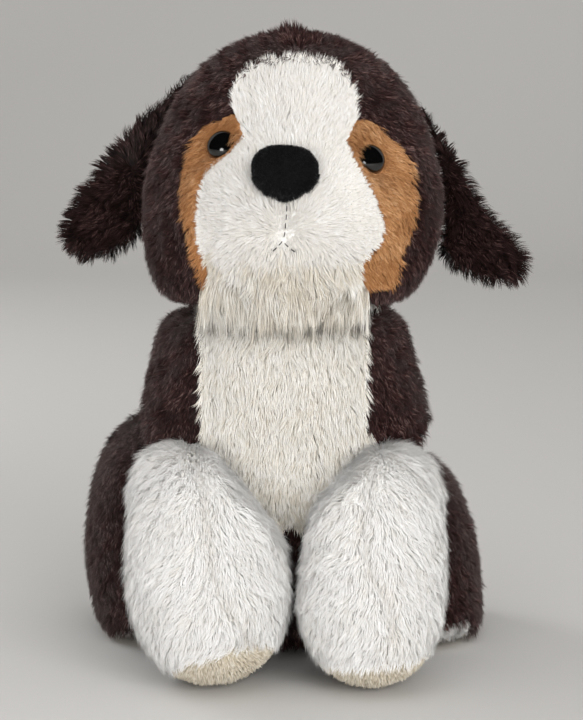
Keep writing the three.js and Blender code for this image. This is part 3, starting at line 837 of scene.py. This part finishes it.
def comb_head(name, c, rng):
    p = c.points
    x, z = p[:, 0], p[:, 2]
    if name in ("muzzle_panel", "chin_panel"):
        c.direction = p - MOUTH_AT - (0, 0, 5)
        low = ramp(z, 212, 182)
        c.direction[:, 0] *= 1 - 0.8 * low
        c.direction[:, 2] -= 40 * low
        # Lower down and under the mouth the pile is darker: painted shade on the chin's underside, with
        # uneven mottling.
        under_lip = fade(x, 22) * fade(z - 200, 12)
        c.shade -= 0.7 * low * (0.8 + smooth_noise(p, 11, 77)) + 0.8 * under_lip
        # At the throat it hangs over the chest.
        rim = ramp(z, 190, 184)
        c.length *= 1 + 0.2 * low + 0.9 * rim
        point(c, np.array([0, -0.25, -0.97]), rim, CHIN_LEAN)
        # The pile stands up over the nose's lower edge.
        lip = fade((x / 8) ** 2 + ((z - 225) / 4) ** 2, 1) * (p[:, 1] < -60)
        c.lean -= 26 * lip
        c.length *= 1 + 0.5 * lip
        c.direction[:, 2] += 120 * lip
        # Strands that would cover the tan are short.
        reach = p + c.normals * 3 + unit(c.direction) * 5
        over = [inside_outline(reach[:, 0], reach[:, 2], line) for line in TAN_OUTLINES.values()]
        c.length *= np.where((over[0] | over[1]) & (z > 190), 0.5, 1)
    elif "cheek" in name:
        sign = 1 if name.startswith("left") else -1
        c.direction[:] = (0.55 * sign, 0.2, -1)
        tuft = fade(z - 190, 8)
        c.shade -= tuft
        c.lean -= 14 * tuft
    else:
        c.direction = p - np.array([5.0, -30.0, 300.0])
    # Along the mouth's lines the pile is shorter and darker: painted shade in the mouth's crease.
    for line in MOUTH_LINES:
        distance = line_distance(p + c.normals * 4.5, line)
        c.length *= 1 - 0.6 * fade(distance, 2.2)
        c.shade -= 0.8 * fade(distance, 2.5)
    for eye in EYES.values():
        across, ahead = eye.over(p)
        near = np.abs(ahead) < 16
        c.keep &= ~(near & (across < eye.radius - 0.4))
        above = z > eye.centre[2] + 3
        c.length *= np.where(near & ~above, np.clip(0.45 + (across - 7) / 8, 0.45, 1), 1)
        # Most strands that would cover the eye are left out, but for the lid's.
        reach = p + c.normals * 3.5 + unit(c.direction) * 4 * c.length[:, None]
        across, ahead = eye.over(reach)
        lid = np.where(above, 3.4, 0)
        covers = (across < eye.radius - 1.2 - lid) & (ahead > -2) & (ahead < 14)
        c.keep &= ~(covers & (rng.random(len(p)) < 0.85))
        # Round the eye the pile is darker: painted shade in the eye's hollow.
        c.shade -= 0.8 * fade(across - eye.radius, 3) * near
    # None where the nose pad is.
    pad = ((x - NOSE[0]) / 12.5) ** 2 + ((z - NOSE[1]) / 9.5) ** 2 < 1
    c.keep &= ~(pad & (p[:, 1] < -60))
    # A small tuft stands up on the crown.
    tuft = fade(np.linalg.norm(p - CROWN, axis=1), math.sqrt(30))
    c.length *= 1 + 0.7 * tuft
    c.lean -= 40 * tuft
    c.keep &= ~(by_neck(p) & (z < 190))


def build_head():
    dents = [(eye.centre + eye.axis * 2, 9.5, 4.5) for eye in EYES.values()]
    grooves = [(MOUTH_LINES[0], 3.0, 1.6)]
    head = Stuffed("head", 4.2, fill=0.8, dents=dents, grooves=grooves, relabel=face_panels)
    styles = {
        # bright=-0.9 darkens the muzzle's pile: painted shade, dimming the upturned face that catches much
        # light.
        "muzzle_panel": style(
            density=4.2, length=6, spread=0.18, width=0.23, lean=68, tuft=1.6, pull=0.15,
            wobble=14, bright=-0.9, mottle=0.2,
        ),
        "chin_panel": style(
            density=3, length=8, width=0.26, lean=CHIN_LEAN, tuft=2.6, pull=0.4, wobble=34,
            wave=8, mottle=1.0,
        ),
    }
    for side in SIDES:
        # The tan cheek on the dog's right gets a darker tone than the left one: painted shade on the side
        # away from the key light.
        styles[side + "_cheek_patch"] = style(
            density=4, length=5, width=0.23, lean=62, tuft=1.8, pull=0.25, mottle=0.5,
            bright={"left": -0.2, "right": -0.7}[side],
        )
        styles[side + "_head_panel"] = short_brown(density=1.8, length=4.8, width=0.34)
    grow(head, styles, comb_head, 11)
    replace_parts(head.cloth, "head_filling")


def comb_ear(name, c, rng):
    sign = 1 if name.startswith("left") else -1
    middle = np.array([84.0 * sign, 0, 226.0])
    c.direction = 0.06 * (c.points - middle) + np.array([0.5 * sign, 0.0, -0.8])


def build_ears():
    for side in SIDES:
        body = side + "_ear"
        ear = Stuffed(body, 2.2, voxel=2.5, rounds=6, swell=1.0, fill=0.3)
        shaggy = style(
            density=3.2, length=6.5, width=0.36, lean=38, tuft=2.6, pull=0.45, wobble=35,
            wave=10, spread=0.3,
        )
        grow(ear, {n: shaggy for n in ear.names}, comb_ear, 21 + SIDES[side])


CHEST_RIGHT, CHEST_LEFT = -40, 37
CHEST_BOTTOM = 68
CHEST_LEAN = 67


def belly_panels(names, points, label):
    """The white of the chest, with its borders; it ends above the gap between the forelegs. The brown below
    it is partly painted shade of that gap.
    """
    x, y, z = points.T
    chest, left, right = (names.index(n + "_panel") for n in ("chest", "left_side", "right_side"))
    across = x - 1.2 * smooth_noise(points, 3, 12)
    shown = np.where(across > CHEST_LEFT, left, np.where(across < CHEST_RIGHT, right, chest))
    label = np.where((y < -8) & (z > 110), shown, label)
    # Brown below the chest's white: partly painted shade in the gap between the forelegs.
    low = (label == chest) & (z < CHEST_BOTTOM + 3 * smooth_noise(points, 6, 8))
    return np.where(low, np.where(x > 0, left, right), label)


def comb_torso(name, c, rng):
    p = c.points
    if name == "chest_panel":
        c.direction[:] = (0, -0.1, -1)
        c.direction[:, 0] += 0.006 * p[:, 0]
        # Towards the belly the pile is darker, unevenly: painted shade where the chest turns under, with
        # mottling.
        belly = ramp(p[:, 2], 98, 73)
        c.shade -= 1.3 * belly * (0.8 + smooth_noise(p, 7, 9))
        c.lean -= 14 * belly
        c.length *= 1 - 0.3 * belly
        # Its upper edge stands up, to the chin, and is lighter: painted light against the chin's shadow.
        top = ramp(p[:, 2], 170, 175)
        point(c, np.array([0, -0.5, 0.87]), top, CHEST_LEAN)
        c.length *= 1 + 0.3 * top
        c.shade += 0.6 * top
    else:
        c.direction[:] = (0, 0.35, -1)
    c.keep &= ~(by_neck(p) & (p[:, 2] > 155))


def full_chest(points):
    """The top of the chest bulges forwards and up, to the chin."""
    front = ramp(points[:, 1], -5, -35)
    rise = front * ramp(points[:, 2], 143, 161)
    swell = ramp(points[:, 2], 95, 160)
    swell = front * swell * swell * (3 - 2 * swell)
    return points + np.stack([0 * rise, -18 * swell, 12 * rise], 1)


def build_torso():
    torso = Stuffed("torso", 4.4, fill=0.7, relabel=belly_panels, shape=full_chest)
    side = short_brown(density=1.3, length=5, width=0.36)
    styles = {
        "chest_panel": long_white(
            density=2.9, length=8.5, lean=CHEST_LEAN, tuft=2.2, pull=0.2, front=1.4
        ),
        "left_side_panel": side,
        "right_side_panel": side,
    }
    grow(torso, styles, comb_torso, 31)
    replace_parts(torso.cloth, "torso_filling", "base_panel", "pellet_bag")


def comb_foreleg(name, c, rng):
    p = c.points
    seam = np.array(FORELEG_SEAMS[name.split("_")[0]])
    if name.endswith("sole"):
        c.direction[:] = (0, 1, 0)
        return
    # Parted along the seam down the front.
    seam_x = np.interp(-p[:, 2], -seam[:, 2], seam[:, 0])
    c.direction[:] = (0, -0.3, -1)
    c.direction[:, 0] = np.clip((p[:, 0] - seam_x) / 25, -0.5, 0.5)
    c.length *= 1 + 0.15 * ramp(p[:, 2], 30, 90)


# The plane that each foreleg slants along: its angle, and x and z of a point on it.
FORELEG_SLANTS = {"left": (46, 23, 97.5), "right": (41, 25, 100)}


def slanted(side):
    """Inwards, each foreleg slants from its top down to where the two meet."""
    angle, across, high = FORELEG_SLANTS[side]
    sign, angle = SIDES[side], math.radians(angle)
    normal = np.array([-sign * math.cos(angle), 0, math.sin(angle)])
    pile_room = 7.5

    def shape(points):
        beyond = (points - (sign * across, 0, high)) @ normal + pile_room
        return points - 0.8 * np.maximum(beyond, 0)[:, None] * normal

    return shape


def build_forelegs():
    for side in SIDES:
        body = side + "_foreleg"
        seam = [(FORELEG_SEAMS[side], 3.5, 2.6)]
        leg = Stuffed(body, 3.6, rounds=3, swell=1.8, fill=0.75, grooves=seam, shape=slanted(side))
        white = long_white(density=2.8, length=7.5, lean=66, tuft=2.6, pull=0.22, front=1.3)
        styles = {
            body + "_outer_panel": white,
            body + "_inner_panel": white,
            body + "_sole": style(density=1.7, length=2.6, width=0.4, lean=30, tuft=1.6, pull=0.2),
        }
        grow(leg, styles, comb_foreleg, 41 + SIDES[side])
        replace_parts(leg.cloth, body + "_filling")


def paw_panels(names, points, label):
    """The hind paws' white stays low, and lower on the dog's right."""
    paw = next(i for i, n in enumerate(names) if "paw" in n)
    outer = next(i for i, n in enumerate(names) if "thigh_outer" in n)
    top = np.where(points[:, 0] > 0, 12, 5)
    return np.where((label == paw) & (points[:, 2] > top), outer, label)


def comb_hind(name, c, rng):
    if "paw" in name:
        c.direction[:] = (0, -1, -0.2)
    else:
        c.direction[:] = (0, -0.3, -1)


def build_hind_legs():
    for side in SIDES:
        body = side + "_hind_leg"
        leg = Stuffed(body, 4.2, swell=1.8, fill=0.7, relabel=paw_panels)
        brown = brown_style(density=1.5, length=5.5, width=0.36, lean=52, tuft=2.2, pull=0.4)
        styles = {
            side + "_thigh_outer_panel": brown,
            side + "_thigh_inner_panel": {**brown, "density": 0.8},
            side + "_hind_paw_panel": style(density=2, length=5, width=0.3, bright=0.3),
        }
        grow(leg, styles, comb_hind, 51 + SIDES[side])
        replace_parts(leg.cloth, side + "_hind_leg_filling", side + "_hind_sole")


def comb_tail(name, c, rng):
    c.direction[:] = (0, 0.3, 1)


def build_tail():
    tail = Stuffed("tail", 3.4, voxel=2.5, rounds=8, swell=1.0, fill=0.6)
    brown = brown_style(density=1.8, length=6, width=0.36, lean=50, pull=0.4)
    grow(tail, {n: brown for n in tail.names}, comb_tail, 61)
    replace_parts(tail.cloth, "tail_filling")


NECK_PROFILE = [
    (0, -36), (20, -30), (33, -16), (38, -6), (43, 0), (45, 4), (44, 9), (40, 14), (33, 20),
    (20, 30), (0, 36),
]
THROAT_WIDTH = 78


def build_neck():
    """Between head and torso: a soft ball, bare only at its two poles, which the others cover."""
    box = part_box("neck_filling")
    centre = (np.array(box[0]) + np.array(box[1])) / 2 / MM
    centre += (0, -2.5, 0)
    neck = lathe_object("neck_cloth", NECK_PROFILE, centre, (0, 0, 1))
    points = get_points(neck.data)
    normals = normals_of(neck.data)
    set_points(neck.data, points + normals * (0.5 * smooth_noise(points, 18, 71))[:, None])
    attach(neck, "neck")
    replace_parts(neck, "neck_filling")
    neck.data.materials.append(CLOTHS["brown"])
    neck.data.materials.append(CLOTHS["cream"])

    def is_front(points):
        beside = np.abs(points[:, 0] - centre[0])
        return (beside < THROAT_WIDTH / 2) & (points[:, 1] < centre[1])

    centres = np.array([p.center for p in neck.data.polygons]) / MM
    neck.data.polygons.foreach_set("material_index", is_front(centres).astype(np.int32))
    rng = np.random.default_rng(72)
    roots, outward = scatter(neck.data, 1.6, rng)
    rim = np.hypot(roots[:, 0] - centre[0], roots[:, 1] - centre[1]) > 22
    front = is_front(roots)
    # Its pile is given a lighter tone: painted light against the shade between head and torso.
    throat = style(
        density=1.8, length=6.5, width=0.32, lean=62, tuft=2.2, pull=0.25, bright=0.6, front=0.8
    )
    for fur, mine in (("cream", rim & front), ("brown", rim & ~front)):
        combed = Combed(roots[mine], outward[mine], (0, 0, -1))
        for part in pile_mesh(f"neck_{fur}_pile", combed, throat, 73, rng):
            add_pile(part, fur, neck)


# ---- eyes, nose and mouth ----

LATHE_SEGMENTS = 64


def lathe_object(name, profile, place, axis):
    """A profile of (radius, height) pairs, in millimetres, turned round an axis."""
    points, faces, rings = [], [], []
    turn = Vector((0, 0, 1)).rotation_difference(Vector(axis))
    for radius, height in profile:
        count = LATHE_SEGMENTS if radius > 0 else 1
        rings.append(range(len(points), len(points) + count))
        for i in range(count):
            a = 2 * math.pi * i / LATHE_SEGMENTS
            local = turn @ Vector((radius * math.cos(a), radius * math.sin(a), height))
            points.append(np.array(place) + np.array(local))
    for low, high in zip(rings, rings[1:]):
        for i in range(LATHE_SEGMENTS):
            j = (i + 1) % LATHE_SEGMENTS
            if len(low) == 1:
                faces.append((low[0], high[j], high[i]))
            elif len(high) == 1:
                faces.append((low[i], low[j], high[0]))
            else:
                faces.append((low[i], low[j], high[j], high[i]))
    obj = object_from(name, points, faces)
    shade_smooth(obj.data)
    return obj


def eye_material():
    """Glossy black, turning to dark amber in a thin band at the rim."""
    material, shader = new_material("eye_plastic", (0.002, 0.002, 0.002), 0.08, 0.7)
    nodes, links = material.node_tree.nodes, material.node_tree.links
    place = nodes.new("ShaderNodeAttribute")
    place.attribute_name = "reach"
    colours = nodes.new("ShaderNodeValToRGB")
    elements = colours.color_ramp.elements
    elements[0].position, elements[0].color = 0.86, (0.002, 0.002, 0.002, 1)
    elements[1].position, elements[1].color = 0.93, (0.12, 0.05, 0.02, 1)
    last = elements.new(1.0)
    last.color = (0.20, 0.13, 0.09, 1)
    links.new(place.outputs["Fac"], colours.inputs["Fac"])
    links.new(colours.outputs["Color"], shader.inputs["Base Color"])
    return material


SHANK_PROFILE = [(0, -11), (1.6, -10.4), (2, -9.5), (2, -1.2)]
DOME_STEPS = 14


def build_eyes():
    material = eye_material()
    for side, eye in EYES.items():
        radius = eye.radius
        profile = [*SHANK_PROFILE, (radius - 0.6, -1.2), (radius, -0.7), (radius, -0.1)]
        for i in range(DOME_STEPS):
            a = math.radians(90 * i / DOME_STEPS)
            profile.append((0.985 * radius * math.cos(a), 0.1 + (eye.HEIGHT - 0.1) * math.sin(a)))
        profile.append((0, eye.HEIGHT))
        obj = lathe_object(side + "_eye_dome", profile, eye.centre, eye.axis)
        across, ahead = eye.over(get_points(obj.data))
        reach = np.where(ahead < -1, 0, across / radius)
        attribute = obj.data.attributes.new("reach", "FLOAT", "POINT")
        attribute.data.foreach_set("value", reach.astype(np.float32))
        obj.data.materials.append(material)
        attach(obj, "head")
        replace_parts(obj, side + "_eye")


def velvet_material():
    material, shader = new_material("nose_velvet", (0.004, 0.004, 0.0045), 0.9, 0.15)
    _, noise = mixed_noise(material, 1800, 4, (0.002, 0.002, 0.0022), (0.008, 0.008, 0.009))
    add_bump(material, noise.outputs["Fac"], 0.8, 0.0005)
    set_sheen(shader, 0.12, 0.4, (0.8, 0.82, 0.9))
    return material


def build_nose():
    points, triangles, _ = node_arrays(["nose_cover", "nose_filling"])
    nose = object_from("nose_pad", points, triangles)
    remesh(nose, 0.9)
    set_points(nose.data, smoothed(get_points(nose.data), edges_of(nose.data), 12))
    subdivide(nose)
    points = get_points(nose.data)
    rough = 0.12 * smooth_noise(points, 1.3, 5) + 0.12 * smooth_noise(points, 7, 6)
    set_points(nose.data, points + normals_of(nose.data) * rough[:, None])
    shade_smooth(nose.data)
    nose.data.materials.clear()
    nose.data.materials.append(velvet_material())
    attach(nose, "head")
    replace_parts(nose, "nose_cover", "nose_filling")

    # Flock, longer round the pad's edge, and longest at its lower edge.
    flock = style(
        density=9, length=0.8, width=0.16, lean=30, tuft=0.8, pull=0.2, wobble=40, wave=3, mottle=0.6
    )
    rng = np.random.default_rng(81)
    roots, outward = scatter(nose.data, flock["density"], rng)
    middle = roots.mean(0)
    combed = Combed(roots, outward, roots - middle - (0, 0, 3))
    edge = ramp(np.hypot((roots[:, 0] - middle[0]) / 1.2, roots[:, 2] - middle[2]), 6, 10)
    combed.length *= 1 + (0.6 + 1.6 * (roots[:, 2] < middle[2] - 2)) * edge
    combed.lean += 30 * edge
    for part in pile_mesh("nose_flock", combed, flock, 82, rng):
        add_pile(part, "velvet", nose)


STITCH_LENGTH = 2.6
STITCH_STEP = 3.9
STITCH_RINGS = 7
THREAD_RADIUS = 0.26
THREAD_SIDES = 8


def build_mouth():
    """Short stitches along the mouth, half sunk in the pile."""
    material, _ = new_material("thread", (0.05, 0.045, 0.045), 0.8)
    mixed_noise(material, 900, 3, (0.03, 0.027, 0.027), (0.10, 0.09, 0.09))
    points, faces = [], []
    for line in MOUTH_LINES:
        line = np.array(line, float)
        steps = np.linalg.norm(np.diff(line, axis=0), axis=1)
        far = np.concatenate([[0], np.cumsum(steps)])
        start = 0.4
        while start + 1.2 < far[-1]:
            places = np.linspace(start, min(start + STITCH_LENGTH, far[-1]), STITCH_RINGS)
            centres = np.stack([np.interp(places, far, line[:, k]) for k in range(3)], 1)
            # A stitch's ends lie deeper.
            centres[:, 1] += 2.0 + 1.1 * np.abs(np.linspace(-1, 1, STITCH_RINGS)) ** 3
            along = unit(np.gradient(centres, axis=0))
            side = unit(np.cross(along, (0, -1, 0)))
            up = np.cross(side, along)
            first = len(points)
            for k, (centre, a, b) in enumerate(zip(centres, side, up)):
                radius = THREAD_RADIUS * (0.35 if k in (0, STITCH_RINGS - 1) else 1)
                for i in range(THREAD_SIDES):
                    t = 2 * math.pi * i / THREAD_SIDES
                    points.append(centre + radius * (a * math.cos(t) + b * math.sin(t)))
            starts = range(first, len(points), THREAD_SIDES)
            rings = [range(n, n + THREAD_SIDES) for n in starts]
            for ring, after in zip(rings, rings[1:]):
                for i in range(THREAD_SIDES):
                    j = (i + 1) % THREAD_SIDES
                    faces.append((ring[i], ring[j], after[j], after[i]))
            faces.append(tuple(reversed(rings[0])))
            faces.append(tuple(rings[-1]))
            start += STITCH_STEP
    stitches = object_from("mouth_stitches", points, faces)
    shade_smooth(stitches.data)
    stitches.data.materials.append(material)
    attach(stitches, "head")
    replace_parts(stitches, "mouth_thread")


def finish_washers():
    material, _ = new_material("washer", (0.78, 0.78, 0.74), 0.5)
    mixed_noise(material, 300, 3, (0.7, 0.7, 0.66), (0.82, 0.82, 0.79))
    for side in SIDES:
        mesh = NODES[side + "_eye_washer"].data
        mesh.materials.clear()
        mesh.materials.append(material)


make_camera()
make_stage()
build_head()
build_ears()
build_torso()
build_forelegs()
build_hind_legs()
build_tail()
build_neck()
build_eyes()
build_nose()
build_mouth()
finish_washers()
